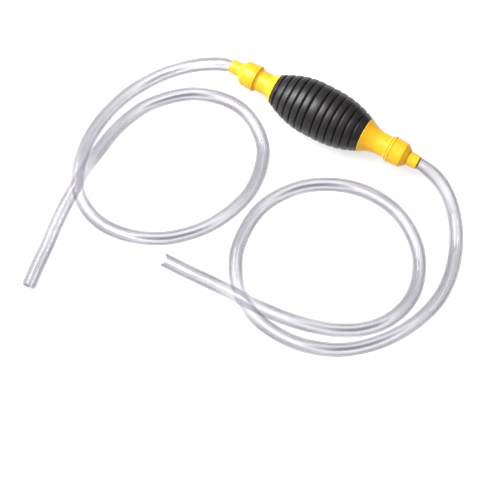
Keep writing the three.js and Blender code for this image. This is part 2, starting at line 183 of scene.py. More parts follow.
# The points that the middle of each hose passes after it leaves its stub
INLET_HOSE_ROUTE = [
    (-0.0866, -0.0024, 0.0202), (-0.0948, -0.006, 0.0187), (-0.103, -0.0097, 0.0158),
    (-0.1111, -0.0141, 0.0122), (-0.1187, -0.02, 0.0092), (-0.1259, -0.0272, 0.0068),
    (-0.133, -0.038, 0.0052), (-0.1395, -0.053, 0.005), (-0.1445, -0.078, 0.005),
    (-0.1445, -0.097, 0.005), (-0.1415, -0.114, 0.005), (-0.1355, -0.1295, 0.005),
    (-0.126, -0.1425, 0.005), (-0.1125, -0.1515, 0.005), (-0.096, -0.1555, 0.005),
    (-0.078, -0.1537, 0.005), (-0.0616, -0.1475, 0.005), (-0.046, -0.137, 0.005),
    (-0.027, -0.1125, 0.005), (-0.0175, -0.075, 0.005), (-0.029, -0.0395, 0.005),
    (-0.0605, -0.0205, 0.005), (-0.0955, -0.0275, 0.005), (-0.12, -0.052, 0.005),
    (-0.1275, -0.07, 0.0056), (-0.13, -0.0885, 0.0082), (-0.1297, -0.1076, 0.012),
    (-0.1283, -0.1269, 0.0152), (-0.1264, -0.1449, 0.0158), (-0.1249, -0.1613, 0.0138),
    (-0.1234, -0.1759, 0.0098), (-0.1213, -0.1908, 0.0062), (-0.1184, -0.2079, 0.005),
    (-0.1151, -0.2232, 0.005),
]
OUTLET_HOSE_ROUTE = [
    (0.0825, 0.0, 0.0205), (0.0895, -0.001, 0.02), (0.097, -0.0026, 0.0185),
    (0.105, -0.0056, 0.0157), (0.115, -0.0123, 0.0115), (0.1245, -0.0225, 0.0076),
    (0.1326, -0.036, 0.0052), (0.1395, -0.055, 0.005), (0.142, -0.076, 0.005),
    (0.1396, -0.093, 0.005), (0.1345, -0.108, 0.005), (0.1265, -0.123, 0.005),
    (0.1165, -0.136, 0.005), (0.1045, -0.147, 0.005), (0.091, -0.155, 0.005),
    (0.07, -0.1616, 0.005), (0.047, -0.1619, 0.005), (0.031, -0.1577, 0.005),
    (0.0173, -0.1495, 0.005), (0.0061, -0.1366, 0.005), (-0.0023, -0.1188, 0.005),
    (-0.0035, -0.084, 0.005), (0.0145, -0.053, 0.005), (0.0476, -0.0346, 0.005),
    (0.0827, -0.0356, 0.005), (0.1105, -0.054, 0.005), (0.1233, -0.079, 0.005),
    (0.124, -0.097, 0.005), (0.118, -0.1145, 0.005), (0.107, -0.128, 0.005),
    (0.093, -0.1375, 0.0052), (0.0783, -0.144, 0.0066), (0.0631, -0.1494, 0.0096),
    (0.048, -0.1533, 0.0132), (0.032, -0.1556, 0.0156), (0.014, -0.1557, 0.0146),
    (-0.004, -0.1552, 0.01), (-0.022, -0.155, 0.0055), (-0.0428, -0.1559, 0.005),
]

# ---------------------------------------------------------------- camera

CAMERA_AZIMUTH = math.radians(31.002)
CAMERA_ELEVATION = math.radians(67.111)
CAMERA_DISTANCE = 0.94987
CAMERA_TARGET = Vector((0.00555, -0.115544, 0.0))
CAMERA_LENS = 93.67  # millimetres
SENSOR_WIDTH = 36  # millimetres
CLIP_START = 0.01


def make_camera():
    back = Vector((
        math.sin(CAMERA_AZIMUTH) * math.cos(CAMERA_ELEVATION),
        -math.cos(CAMERA_AZIMUTH) * math.cos(CAMERA_ELEVATION),
        math.sin(CAMERA_ELEVATION),
    ))
    data = bpy.data.cameras.new("camera")
    data.sensor_width = SENSOR_WIDTH
    data.sensor_fit = "HORIZONTAL"
    data.lens = CAMERA_LENS
    data.clip_start = CLIP_START
    camera = bpy.data.objects.new("camera", data)
    camera.location = CAMERA_TARGET + CAMERA_DISTANCE * back
    camera.rotation_euler = (-back).to_track_quat("-Z", "Y").to_euler()
    bpy.context.scene.collection.objects.link(camera)
    bpy.context.scene.camera = camera


make_camera()

# ---------------------------------------------------------------- materials


class Nodes:
    """A new material's node tree, with short ways to add and join nodes."""

    def __init__(self, name):
        self.material = bpy.data.materials.new(name)
        self.material.use_nodes = True
        self.tree = self.material.node_tree
        self.shader = self.tree.nodes["Principled BSDF"]
        self.place = self.add("ShaderNodeTexCoord").outputs["Object"]

    def add(self, kind, **settings):
        node = self.tree.nodes.new(kind)
        for key, value in settings.items():
            if hasattr(node, key):
                setattr(node, key, value)
            else:
                node.inputs[key.replace("_", " ")].default_value = value
        return node

    def join(self, output, target):
        self.tree.links.new(output, target)

    def noise(self, scale, detail=3.0, roughness=0.5, place=None):
        node = self.add("ShaderNodeTexNoise", Scale=scale, Detail=detail, Roughness=roughness)
        self.join(place or self.place, node.inputs["Vector"])
        return node.outputs["Fac"]

    def ramp(self, factor, stops):
        """Colours, or greys, spread over a factor from 0 to 1."""
        node = self.add("ShaderNodeValToRGB")
        elements = node.color_ramp.elements
        while len(elements) < len(stops):
            elements.new(0.5)
        for element, (position, colour) in zip(elements, stops):
            element.position = position
            if isinstance(colour, (int, float)):
                colour = (colour, colour, colour)
            element.color = (*colour, 1)
        self.join(factor, node.inputs["Fac"])
        return node.outputs["Color"]

    def mix(self, factor, colour, other):
        """The colour, and another in its place where the factor is 1."""
        node = self.add("ShaderNodeMix", data_type="RGBA")
        self.join(factor, node.inputs["Factor"])
        self.join(colour, node.inputs["A"])
        node.inputs["B"].default_value = (*other, 1)
        return node.outputs["Result"]

    def mix_value(self, factor, value, other):
        """The value, and another in its place where the factor is 1."""
        node = self.add("ShaderNodeMix", data_type="FLOAT")
        self.join(factor, node.inputs["Factor"])
        self.join(value, node.inputs["A"])
        node.inputs["B"].default_value = other
        return node.outputs["Result"]

    def set(self, **values):
        for key, value in values.items():
            self.shader.inputs[key.replace("_", " ")].default_value = value

    def colour(self, output):
        self.join(output, self.shader.inputs["Base Color"])

    def roughness(self, output):
        self.join(output, self.shader.inputs["Roughness"])

    def bump(self, height, strength, distance):
        node = self.add("ShaderNodeBump", Strength=strength, Distance=distance)
        self.join(height, node.inputs["Height"])
        self.join(node.outputs["Normal"], self.shader.inputs["Normal"])


def bulb_rubber():
    nodes = Nodes("bulb_rubber")
    darker, lighter = (0.0080, 0.0066, 0.0072), (0.0142, 0.0118, 0.0130)
    mottle = nodes.noise(170, detail=4, roughness=0.6)
    nodes.colour(nodes.ramp(mottle, [(0.3, darker), (0.7, lighter)]))
    nodes.roughness(nodes.ramp(nodes.noise(420), [(0.3, 0.33), (0.7, 0.42)]))
    nodes.bump(nodes.noise(2600, detail=2), strength=0.2, distance=0.00006)
    nodes.set(Specular_IOR_Level=0.40)
    return nodes.material


def yellow_plastic():
    nodes = Nodes("yellow_plastic")
    darker, lighter = (0.72, 0.375, 0.014), (0.75, 0.42, 0.020)
    swirl = nodes.noise(90, roughness=0.55)
    nodes.colour(nodes.ramp(swirl, [(0.25, darker), (0.75, lighter)]))
    nodes.roughness(nodes.ramp(nodes.noise(300, detail=2), [(0.3, 0.24), (0.7, 0.32)]))
    nodes.bump(nodes.noise(900, detail=2), strength=0.10, distance=0.00006)
    nodes.set(IOR=1.49, Specular_IOR_Level=0.28, Subsurface_Weight=0.12)
    nodes.set(Subsurface_Radius=(0.0020, 0.0012, 0.0003), Subsurface_Scale=1.0)
    return nodes.material


def white_plastic():
    nodes = Nodes("white_plastic")
    darker, lighter = (0.80, 0.79, 0.74), (0.88, 0.87, 0.83)
    nodes.colour(nodes.ramp(nodes.noise(220), [(0.3, darker), (0.7, lighter)]))
    nodes.roughness(nodes.ramp(nodes.noise(600, detail=2), [(0.3, 0.36), (0.7, 0.46)]))
    nodes.bump(nodes.noise(1500, detail=2), strength=0.10, distance=0.00005)
    return nodes.material


def seal_rubber():
    nodes = Nodes("seal_rubber")
    darker, lighter = (0.036, 0.036, 0.038), (0.055, 0.055, 0.058)
    nodes.colour(nodes.ramp(nodes.noise(500), [(0.3, darker), (0.7, lighter)]))
    nodes.roughness(nodes.ramp(nodes.noise(900, detail=2), [(0.3, 0.60), (0.7, 0.72)]))
    nodes.bump(nodes.noise(2600, detail=2), strength=0.20, distance=0.00006)
    return nodes.material


def spring_steel():
    nodes = Nodes("spring_steel")
    darker, lighter = (0.50, 0.51, 0.53), (0.66, 0.67, 0.69)
    nodes.colour(nodes.ramp(nodes.noise(1400), [(0.3, darker), (0.7, lighter)]))
    nodes.roughness(nodes.ramp(nodes.noise(2600, detail=2), [(0.3, 0.22), (0.7, 0.34)]))
    nodes.set(Metallic=1.0)
    return nodes.material


# Share of the haze in the clear wall, from where it is faced to where it is seen edge on
EDGE_HAZE = [(0.0, 0.05), (0.10, 0.12), (0.22, 0.20), (0.46, 0.35), (0.70, 0.60), (0.90, 0.78)]
STREAK_HAZE = [(0.38, 0.45), (0.50, 0.85), (0.62, 1.0)]  # the part of it that streaks leave
# Haze of the painted shade on a hose
PAINTED_SHADE_HAZE = 0.6
# Haze where painted light lightens a hose that lies over itself
PAINTED_CROSSING_HAZE = 0.10
CUT_HAZE = 0.9
GLOSS = [(0.0, 0.02), (0.5, 0.03), (0.8, 0.03), (1.0, 0.04)]
DARK_TINT = (0.110, 0.104, 0.128)
LIGHT_TINT = (0.150, 0.144, 0.168)
# Colour of the painted shade on a hose
PAINTED_SHADE_TINT = (0.060, 0.055, 0.085)
CUT_TINT = (0.62, 0.61, 0.63)
CLEAR_TINT = (0.985, 0.98, 0.99)


def clear_hose():
    """Clear plastic whose thin wall hardly bends what is behind it. It is seen through, except
    for a little haze that gathers where the wall is seen at a slant, and it is glossy. Four
    attributes of its meshes lead it: lay holds the cosine and sine round the hose and the distance
    along it, dusk how much painted shade darkens it, cut is 1 on the cut end, which is a
    duller white, and crossed how much painted light lightens it where a hose lies over itself."""
    nodes = Nodes("clear_hose")
    lay = nodes.add("ShaderNodeAttribute", attribute_name="lay").outputs["Vector"]
    painted_shade = nodes.add("ShaderNodeAttribute", attribute_name="painted_shade").outputs["Fac"]
    cut = nodes.add("ShaderNodeAttribute", attribute_name="cut").outputs["Fac"]
    painted_crossing_light = nodes.add("ShaderNodeAttribute", attribute_name="painted_crossing_light").outputs["Fac"]
    slant = nodes.add("ShaderNodeLayerWeight", Blend=0.5).outputs["Facing"]
    streaks = nodes.noise(2.6, detail=2, place=lay)
    streaked = nodes.add("ShaderNodeMath", operation="MULTIPLY")
    nodes.join(nodes.ramp(slant, EDGE_HAZE), streaked.inputs[0])
    nodes.join(nodes.ramp(streaks, STREAK_HAZE), streaked.inputs[1])
    # Painted shade thickens the haze
    shaded_haze = nodes.mix_value(painted_shade, streaked.outputs["Value"], PAINTED_SHADE_HAZE)
    # Painted light near the crossings thins the haze
    lightened = nodes.mix_value(painted_crossing_light, shaded_haze, PAINTED_CROSSING_HAZE)
    haze = nodes.mix_value(cut, lightened, CUT_HAZE)
    tint = nodes.ramp(streaks, [(0.35, DARK_TINT), (0.65, LIGHT_TINT)])
    # Painted shade darkens the tint
    nodes.colour(nodes.mix(cut, nodes.mix(painted_shade, tint, PAINTED_SHADE_TINT), CUT_TINT))
    nodes.roughness(nodes.ramp(nodes.noise(140, detail=2), [(0.3, 0.25), (0.7, 0.35)]))
    nodes.set(Specular_IOR_Level=0.0)
    seen_through = nodes.add("ShaderNodeBsdfTransparent", Color=(*CLEAR_TINT, 1))
    hazed = nodes.add("ShaderNodeMixShader")
    nodes.join(haze, hazed.inputs["Fac"])
    nodes.join(seen_through.outputs["BSDF"], hazed.inputs[1])
    nodes.join(nodes.shader.outputs["BSDF"], hazed.inputs[2])
    shine = nodes.add("ShaderNodeBsdfGlossy", Roughness=0.10)
    shiny = nodes.add("ShaderNodeMixShader")
    nodes.join(nodes.ramp(slant, GLOSS), shiny.inputs["Fac"])
    nodes.join(hazed.outputs["Shader"], shiny.inputs[1])
    nodes.join(shine.outputs["BSDF"], shiny.inputs[2])
    nodes.join(shiny.outputs["Shader"], nodes.tree.nodes["Material Output"].inputs["Surface"])
    return nodes.material


def floor_material():
    nodes = Nodes("floor")
    nodes.colour(nodes.ramp(nodes.noise(3, detail=2), [(0.3, 0.31), (0.7, 0.33)]))
    nodes.set(Roughness=0.75, Specular_IOR_Level=0.2)
    nodes.set(Emission_Color=(1, 1, 1, 1), Emission_Strength=0.66)
    return nodes.material


MATERIALS = {
    "bulb_rubber": bulb_rubber(),
    "yellow_plastic": yellow_plastic(),
    "white_plastic": white_plastic(),
    "seal_rubber": seal_rubber(),
    "spring_steel": spring_steel(),
    "clear_hose": clear_hose(),
}

# ---------------------------------------------------------------- meshes


def make_object(name, vertices, faces, slot, normals=None):
    """A smooth mesh object in a material slot. normals has one for each corner of each face."""
    mesh = bpy.data.meshes.new(name)
    mesh.from_pydata(vertices, [], faces)
    mesh.polygons.foreach_set("use_smooth", [True] * len(mesh.polygons))
    if normals is not None:
        mesh.normals_split_custom_set(normals)
    mesh.materials.append(MATERIALS[slot])
    made = bpy.data.objects.new(name, mesh)
    bpy.context.scene.collection.objects.link(made)
    return made


def rise(value, start, run):
    """0 up to the start, and 1 from the end of the run."""
    return np.clip((value - start) / run, 0, 1)


def eased(share):
    """A share from 0 to 1 that starts and stops gently."""
    return share * share * (3 - 2 * share)


def unit_tangents(path):
    tangents = np.gradient(path, axis=0)
    return tangents / np.linalg.norm(tangents, axis=1)[:, None]


def tube_faces(rings, sides, closed=False):
    """Faces between rings of vertices. A closed tube also joins its last ring to its first."""
    faces = []
    for ring in range(rings if closed else rings - 1):
        following = (ring + 1) % rings
        for k in range(sides):
            next_k = (k + 1) % sides
            faces.append((
                ring * sides + k, ring * sides + next_k,
                following * sides + next_k, following * sides + k,
            ))
    return faces


ARC_STEPS = 6


def rounded(corners):
    """The points of an outline whose corners are (x, radius) or (x, radius, rounding)."""
    points = []
    count = len(corners)
    for i, corner in enumerate(corners):
        here = np.array(corner[:2])
        rounding = corner[2] if len(corner) > 2 else 0
        if not rounding:
            points.append(here)
            continue
        to_last = np.array(corners[i - 1][:2]) - here
        to_next = np.array(corners[(i + 1) % count][:2]) - here
        to_last /= np.linalg.norm(to_last)
        to_next /= np.linalg.norm(to_next)
        half_angle = math.acos(np.clip(to_last @ to_next, -1, 1)) / 2
        reach = rounding / math.tan(half_angle)
        middle = to_last + to_next
        centre = here + middle / np.linalg.norm(middle) * rounding / math.sin(half_angle)
        start = here + to_last * reach - centre
        stop = here + to_next * reach - centre
        turn = math.atan2(start[0] * stop[1] - start[1] * stop[0], start @ stop)
        for k in range(ARC_STEPS + 1):
            angle = turn * k / ARC_STEPS
            cosine, sine = math.cos(angle), math.sin(angle)
            turned = (start[0] * cosine - start[1] * sine, start[0] * sine + start[1] * cosine)
            points.append(centre + turned)
    return points


SHARP_COSINE = math.cos(math.radians(32))  # corners that turn further keep their edge


def outline_normals(points):
    """For each stretch of a closed outline, the outward normals at its start and at its end.
    Across a gentle corner they run on, led by the longer stretch; a sharp corner keeps both."""
    step = np.roll(points, -1, axis=0) - points
    length = np.linalg.norm(step, axis=1)[:, None]
    normal = np.column_stack([step[:, 1], -step[:, 0]]) / length
    before = np.roll(normal, 1, axis=0)
    mean = before * np.roll(length, 1, axis=0) ** 2 + normal * length ** 2
    mean /= np.linalg.norm(mean, axis=1)[:, None]
    gentle = ((before * normal).sum(axis=1) > SHARP_COSINE)[:, None]
    at_start = np.where(gentle, mean, normal)
    at_end = np.where(np.roll(gentle, -1, axis=0), np.roll(mean, -1, axis=0), normal)
    return at_start, at_end


def lathe(name, slot, outline, x, outward=1, first=0.0, sweep=2 * math.pi, sides=LATHE_SIDES):
    """A body of revolution about the pump's axis, from a closed outline of (distance, radius)
    points. Distances run outward from x. A sweep of less than a turn gets flat ends."""
    points = np.array(outline, float)
    points[:, 0] = x + outward * points[:, 0]
    following = np.roll(points, -1, axis=0)
    if (points[:, 0] * following[:, 1] - following[:, 0] * points[:, 1]).sum() < 0:
        points = points[::-1]
    count = len(points)
    whole = sweep == 2 * math.pi
    rings = sides if whole else sides + 1
    angles = first + sweep * np.arange(rings) / sides
    directions = np.column_stack([np.zeros(rings), np.cos(angles), np.sin(angles)])
    vertices = [
        (along, radius * cosine, AXIS_Z + radius * sine)
        for along, radius in points for _, cosine, sine in directions
    ]

    def turned(normal, k):
        return (normal[0], normal[1] * directions[k, 1], normal[1] * directions[k, 2])

    at_start, at_end = outline_normals(points)
    faces = []
    normals = []
    for j in range(count):
        next_j = (j + 1) % count
        for k in range(rings if whole else rings - 1):
            next_k = (k + 1) % rings
            faces.append((
                j * rings + k, next_j * rings + k,
                next_j * rings + next_k, j * rings + next_k,
            ))
            normals += [
                turned(at_start[j], k), turned(at_end[j], k),
                turned(at_end[j], next_k), turned(at_start[j], next_k),
            ]
    if not whole:
        for k, side in ((0, 1), (rings - 1, -1)):
            faces.append([j * rings + k for j in range(count)][::-side])
            facing = np.cross((1, 0, 0), directions[k]) * -side
            normals.extend([tuple(facing)] * count)
    return make_object(name, vertices, faces, slot, normals)


# ---------------------------------------------------------------- hoses

CURVE_STEPS = 40  # between two points of a route


def route_curve(points, spacing):
    """Points at an even spacing on the centripetal Catmull-Rom curve through the route's points."""
    points = [np.array(point) for point in points]
    padded = [2 * points[0] - points[1], *points, 2 * points[-1] - points[-2]]
    dense = []
    for p0, p1, p2, p3 in zip(padded, padded[1:], padded[2:], padded[3:]):
        d0, d1, d2 = (math.sqrt(np.linalg.norm(b - a)) for a, b in ((p0, p1), (p1, p2), (p2, p3)))
        t1 = ((p1 - p0) / d0 - (p2 - p0) / (d0 + d1) + (p2 - p1) / d1) * d1
        t2 = ((p2 - p1) / d1 - (p3 - p1) / (d1 + d2) + (p3 - p2) / d2) * d1
        for t in np.arange(CURVE_STEPS) / CURVE_STEPS:
            dense.append(
                (2 * t**3 - 3 * t**2 + 1) * p1 + (t**3 - 2 * t**2 + t) * t1
                + (3 * t**2 - 2 * t**3) * p2 + (t**3 - t**2) * t2
            )
    dense = np.array([*dense, points[-1]])
    dense[:, 2] = np.maximum(dense[:, 2], HOSE_RADIUS)
    reached = np.concatenate([[0], np.cumsum(np.linalg.norm(np.diff(dense, axis=0), axis=1))])
    count = round(reached[-1] / spacing)
    wanted = np.linspace(0, reached[-1], count + 1)
    return np.column_stack([np.interp(wanted, reached, dense[:, i]) for i in range(3)])


def frames_along(path):
    """Two directions across the path at each of its points, that don't twist along it."""
    tangents = unit_tangents(path)
    across = np.cross(tangents[0], (0, 0, 1))
    firsts = []
    for tangent in tangents:
        across = across - tangent * (across @ tangent)
        across = across / np.linalg.norm(across)
        firsts.append(across)
    firsts = np.array(firsts)
    return firsts, np.cross(tangents, firsts)


NECK_SHARE = 0.86  # of the hose's radius, where its stub grips it
WAVES = ((0.31, 0.010, 0.4), (0.113, 0.008, 2.1), (0.047, 0.005, 4.0))  # length, share, start
CUT_ROUNDING = 0.00015
CUT_CORNER = 0.3  # share of the rounding at which its middle point lies


def hose_share(reached, neck_run):
    """Radius along the hose, as a share of its full radius: necked in its stub, then a little
    uneven."""
    freed = rise(reached, HOSE_TUCK, neck_run)
    swell = NECK_SHARE + (1 - NECK_SHARE) * eased(freed)
    uneven = sum(
        share * np.sin(2 * math.pi * reached / length + start) for length, share, start in WAVES
    )
    return swell * (1 + uneven * freed)


# The shade painted into a hose, as dark streaks and grey bands, depends on the direction in
# which it runs, and on how near its shade side a place lies. ALONG and BELOW hold the cosine at
# which the painted shade starts and the run over which it grows to its full strength.
STREAK_DIRECTION = Vector((0.743, 0.669, 0))  # of the stretches where a painted dark streak of shade shows
STREAK_ALONG = (0.87, 0.12)
STREAK_BELOW = (0.93, 0.06)
BAND_DIRECTION = Vector((-0.26, 0.966, 0))  # of the stretches where a broad grey band of painted shade shows
BAND_ALONG = (0.70, 0.30)
BAND_BELOW = (0.4, 0.5)
BAND_SHADE = 0.50
PAIR_DIRECTION = Vector((1, 0.03, 0))  # of the stretches with a band of painted grey shade along each side
PAIR_ALONG = (0.93, 0.06)
PAIR_PLACES = (0.15, 0.35, 0.80, 0.90, 0.94)  # cosines from the shade side
PAIR_SHADES = (0, 0.20, 0.26, 0.58, 0)
SHADE_SIDE = Vector((-0.2, 0.33, -0.92))  # of the hose, away from the light
LIFTED_Z = 0.019  # a hose this high gets none of the painted shade bands
LIFT_RUN = 0.003  # below it, over which they come back
CROSSINGS = ((-0.129, -0.133), (0.022, -0.153))  # where a hose lies over itself, and painted light lightens it
CROSSING_REACH = (0.006, 0.018)  # fully light up to the first distance, and the run beyond it
CROSSING_SHARE = 0.80
LIP_RINGS = 4  # between the outer wall and the bore at the cut end
MOUTH_RINGS = 2  # of the bore that get painted shade there
LAY_SCALE = 12  # of the distance along the hose, so that streaks run far along it


def store_lay(mesh, rings, angles, tangents, vertices, path):
    """Keeps each vertex's place round and along the hose, how much painted shade darkens it, and
    whether it is on the cut end or near a crossing of the hose, which painted light lightens."""
    lay = []
    painted_shade = []
    cut = []
    painted_crossing_light = []
    for ring, (i, _, shift) in enumerate(rings):
        streak = rise(abs(tangents[i] @ STREAK_DIRECTION), *STREAK_ALONG)
        band = rise(abs(tangents[i] @ BAND_DIRECTION), *BAND_ALONG)
        pair = rise(abs(tangents[i] @ PAIR_DIRECTION), *PAIR_ALONG)
        lying = rise(LIFTED_Z - path[i][2], 0, LIFT_RUN)
        in_mouth = ring >= len(path) + LIP_RINGS and i >= len(path) - MOUTH_RINGS
        # Painted light near the places where a hose lies over itself
        nearest = min(math.dist(path[i][:2], crossing) for crossing in CROSSINGS)
        light = CROSSING_SHARE * (1 - rise(nearest, *CROSSING_REACH))
        for k, angle in enumerate(angles):
            away = np.array(vertices[ring * len(angles) + k]) - path[i]
            below = (away / np.linalg.norm(away)) @ SHADE_SIDE
            lay.extend((math.cos(angle), math.sin(angle), i * HOSE_STEP * LAY_SCALE))
            # Painted shade: dark streaks, grey bands, and shade inside the mouth of the cut end
            painted_shade.append(max(
                streak * rise(below, *STREAK_BELOW),
                lying * BAND_SHADE * band * rise(below, *BAND_BELOW),
                lying * pair * np.interp(below, PAIR_PLACES, PAIR_SHADES),
                band if in_mouth and below > 0 else 0,
            ))
            cut.append(1.0 if i == len(path) - 1 and shift > -CUT_ROUNDING else 0.0)
            painted_crossing_light.append(light)
    mesh.attributes.new("lay", "FLOAT_VECTOR", "POINT").data.foreach_set("vector", lay)
    for name, values in (("painted_shade", painted_shade), ("cut", cut), ("painted_crossing_light", painted_crossing_light)):
        mesh.attributes.new(name, "FLOAT", "POINT").data.foreach_set("value", values)


def make_hose(end, route):
    start = (end["outward"] * (PUMP_END - HOSE_TUCK), 0, AXIS_Z)
    path = route_curve([start, *route], HOSE_STEP)
    firsts, seconds = frames_along(path)
    reached = HOSE_STEP * np.arange(len(path))
    share = hose_share(reached, end["neck_run"])
    last = len(path) - 1
    # Each ring is (place on the path, radius, shift along the path): out along the outer wall,
    # round the cut end, back along the bore and round the first end.
    outer = [(i, HOSE_RADIUS * share[i], 0) for i in range(last + 1)]
    inner = [(i, HOSE_BORE_RADIUS * share[i], 0) for i in range(last, -1, -1)]
    end_outer, end_inner = outer[-1][1], inner[0][1]
    outer[-1] = (last, end_outer, -CUT_ROUNDING)
    inner[0] = (last, end_inner, -CUT_ROUNDING)
    corner = CUT_CORNER * CUT_ROUNDING
    lip = [
        (last, end_outer - corner, -corner), (last, end_outer - CUT_ROUNDING, 0),
        (last, end_inner + CUT_ROUNDING, 0), (last, end_inner + corner, -corner),
    ]
    rings = outer + lip + inner
    tangents = np.cross(firsts, seconds)
    angles = 2 * math.pi * np.arange(HOSE_SIDES) / HOSE_SIDES
    cosines, sines = np.cos(angles)[:, None], np.sin(angles)[:, None]
    vertices = []
    for i, radius, shift in rings:
        circle = radius * (cosines * firsts[i] + sines * seconds[i])
        ring = path[i] + tangents[i] * shift + circle
        ring[:, 2] = np.maximum(ring[:, 2], 0)
        vertices.extend(map(tuple, ring))
    faces = tube_faces(len(rings), HOSE_SIDES, closed=True)
    made = make_object(f"{end['name']}_clear_hose", vertices, faces, "clear_hose")
    made.data.set_sharp_from_angle(angle=SMOOTH_UP_TO)
    store_lay(made.data, rings, angles, tangents, vertices, path)
    made.visible_shadow = False  # light goes through the clear wall, with hardly a shadow
    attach(made, f"{end['name']}_tail")
    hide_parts(f"{end['name']}_hose")


make_hose(INLET, INLET_HOSE_ROUTE)
make_hose(OUTLET, OUTLET_HOSE_ROUTE)

# ---------------------------------------------------------------- bulb

BULB_SIDES = 120  # round each half
# Places across a groove, as shares of its half width
GROOVE_STEPS = (0.0, 0.3, 0.55, 0.75, 0.95, 1.15, 1.4, 1.75, 2.2)
CROWN_STEPS = (-0.22, 0, 0.22)  # places on the crown of a band, as shares of the pitch
LEAST_STEP = 1e-6  # between two places
INNER_STEPS = 12  # along the inside of a shoulder


def base_radius(end, distance):
    """Radius of a shoulder between its grooves, at a distance from the middle band."""
    drop = BULB_RADIUS - end["mouth_radius"]
    return BULB_RADIUS - drop * (distance / end["shoulder_length"]) ** end["shoulder_power"]


def carved(distance, grooves, bands):
    """What the crown of a band adds to the radius and the grooves take from it."""
    cut = sum(
        math.exp(-((abs(distance - groove) / GROOVE_HALF_WIDTH) ** GROOVE_POWER))
        for groove in grooves
    )
    for start, stop in bands:
        if start <= distance <= stop:
            share = (2 * distance - start - stop) / (stop - start)
            return BAND_CROWN * (0.5 - share * share) - GROOVE_DEPTH * cut
    return -GROOVE_DEPTH * cut


def surface_distances(grooves, start, stop):
    """Distances at which the outline of the grooved surface has its points."""
    found = {start, stop}
    for groove in grooves:
        for share in GROOVE_STEPS:
            for side in (-1, 1):
                found.add(groove + side * share * GROOVE_HALF_WIDTH)
    middles = [(a + b) / 2 for a, b in zip(grooves, grooves[1:])]
    for middle in middles:
        for share in CROWN_STEPS:
            found.add(middle + share * GROOVE_PITCH)
    kept = []
    for distance in sorted(found):
        if start <= distance <= stop and (not kept or distance - kept[-1] > LEAST_STEP):
            kept.append(distance)
    return kept


def shoulder_outline(end):
    """Outline of the bulb from the edge of its middle band to its rim, as distances from there."""
    length = end["shoulder_length"]
    grooves = [i * GROOVE_PITCH for i in range(GROOVES_EACH_SIDE)]
    bands = list(zip(grooves, grooves[1:])) + [(grooves[-1], length)]
    outer = []
    for distance in surface_distances(grooves, 0, length - RIM_EDGE_LENGTH):
        outer.append((distance, base_radius(end, distance) + carved(distance, grooves, bands)))
    collar = end["mouth_radius"] - RUBBER_WALL
    rim = [
        (length, end["mouth_radius"] - RIM_INSET, RIM_OUTER_ROUNDING),
        (length, collar, RIM_INNER_ROUNDING),
    ]
    inner = [(length - MOUTH_TUNNEL, collar)]
    for i in range(INNER_STEPS, -1, -1):
        distance = (length - MOUTH_TUNNEL) * i / INNER_STEPS
        inner.append((distance, base_radius(end, distance) - RUBBER_WALL))
    return rounded(outer + rim + inner)


def band_outline():
    grooves = [0, MIDDLE_BAND_WIDTH]
    outer = []
    for distance in surface_distances(grooves, 0, MIDDLE_BAND_WIDTH):
        outer.append((distance, BULB_RADIUS + carved(distance, grooves, [(0, MIDDLE_BAND_WIDTH)])))
    inner = BULB_RADIUS - RUBBER_WALL
    return outer + [(MIDDLE_BAND_WIDTH, inner), (0, inner)]


def rest_on_floor(made):
    """Rubber that would reach below the floor lies flat on it."""
    for vertex in made.data.vertices:
        vertex.co.z = max(vertex.co.z, 0)


def press_in(made):
    """Bakes the piece's place into its mesh."""
    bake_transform(made)


def make_bulb():
    for half, side in (("front", -1), ("back", 1)):
        turn = {"first": -side * math.pi / 2, "sweep": math.pi, "sides": BULB_SIDES}
        for end in (INLET, OUTLET):
            name = f"bulb_{half}_{end['name']}_shoulder"
            outline = shoulder_outline(end)
            made = lathe(name, "bulb_rubber", outline, end["band_x"], end["outward"], **turn)
            rest_on_floor(made)
            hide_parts(f"bulb_{half}_half")
            press_in(made)
        name = f"bulb_{half}_middle_band"
        made = lathe(name, "bulb_rubber", band_outline(), INLET["band_x"], **turn)
        rest_on_floor(made)
        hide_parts(f"bulb_{half}_half")
        press_in(made)


make_bulb()

# ---------------------------------------------------------------- yellow mouldings

FLARE_STEPS = 14
HAIR = 1e-5  # keeps two points of an outline apart


def housing_outline(end):
    """Outline of a valve housing, as distances outward from the rim of the bulb."""
    mouth = end["mouth_radius"]
    waist = end["waist_radius"]
    spigot = mouth - RUBBER_WALL - FIT
    bore = spigot - SPIGOT_WALL
    ridge_face = -MOUTH_TUNNEL - FIT
    tip = ridge_face - RIDGE_LENGTH
    neck_start = end["housing_length"] - FIT
    neck_end = end["housing_length"] + NECK_LENGTH
    web_face = neck_end - CARTRIDGE_LENGTH - FIT
    cartridge_bore = CAGE_RADIUS + FIT
    outline = [
        (tip, bore, FINE_EDGE), (tip, spigot, FINE_EDGE),
        (ridge_face - EDGE, spigot + RIDGE_HEIGHT, FINE_EDGE),
        (ridge_face, spigot + RIDGE_HEIGHT, LEAST_EDGE),
        (ridge_face, spigot), (FIT, spigot), (FIT, mouth - MOUTH_INSET, MOUTH_ROUNDING),
    ]
    flare_start = FIT + EDGE
    for i in range(FLARE_STEPS + 1):
        along = i / FLARE_STEPS
        distance = flare_start + (end["flare_length"] - flare_start) * along
        radius = waist + (mouth - waist) * (1 - along) ** FLARE_POWER
        outline.append((distance if i else distance + HAIR, radius))
    outline += [
        (neck_start - SHOULDER_LENGTH, waist), (neck_start, waist + SHOULDER_HEIGHT, LEAST_EDGE),
        (neck_start, NECK_RADIUS - THREAD_DEPTH),
    ]
    outline += thread_points(neck_start, neck_end - EDGE)
    outline += [
        (neck_end, NECK_RADIUS - NECK_END_DROP, LEAST_EDGE), (neck_end, cartridge_bore, FINE_EDGE),
        (web_face, cartridge_bore), (web_face, WEB_BORE_RADIUS, FINE_EDGE),
        (web_face - WEB_THICKNESS, WEB_BORE_RADIUS, FINE_EDGE), (0, bore),
    ]
    return rounded(outline)


